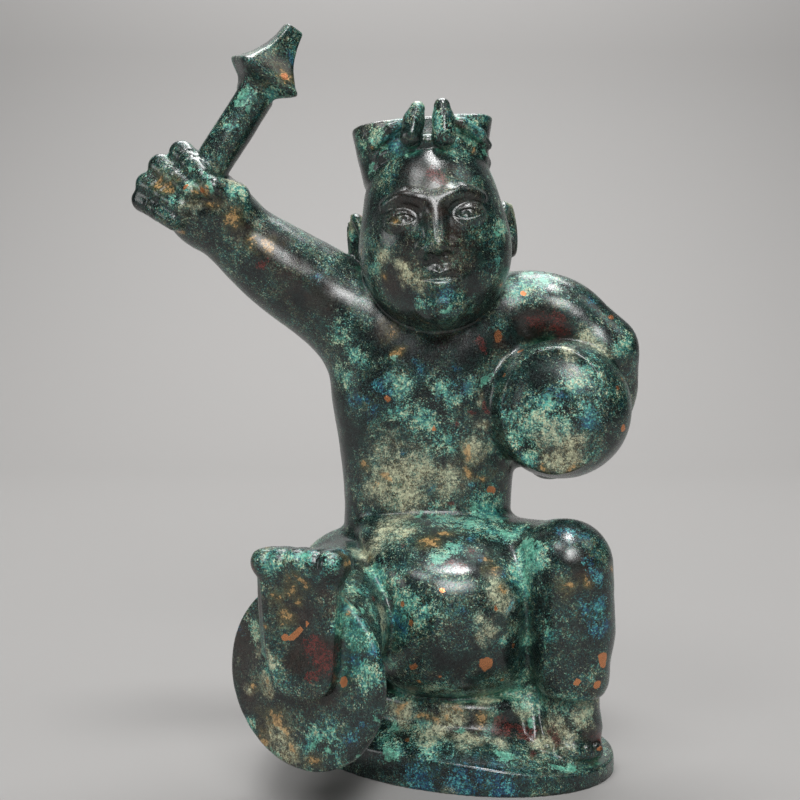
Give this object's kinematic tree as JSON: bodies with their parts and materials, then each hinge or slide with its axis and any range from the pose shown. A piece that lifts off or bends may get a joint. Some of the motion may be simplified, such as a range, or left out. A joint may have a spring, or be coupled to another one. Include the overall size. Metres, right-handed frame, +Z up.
{
  "type": "cast bronze drummer figurine",
  "caption": "Cast bronze figurine of a seated drummer with raised stick, drum under one arm, one foot lifted, on an oval base; a shelf ornament.",
  "frame": {"origin": "middle of the bounding box at the underside of the base", "axes": "+X to the figure's left, +Y to its back, +Z up"},
  "size_m": [0.1788, 0.1488, 0.2546],
  "materials": {
    "patinated_bronze": "dark green-black bronze patina with green, blue and cream mottling and bare copper spots, satin"
  },
  "bodies": {
    "root": {"drummer_casting": "patinated_bronze"}
  },
  "joints": []
}
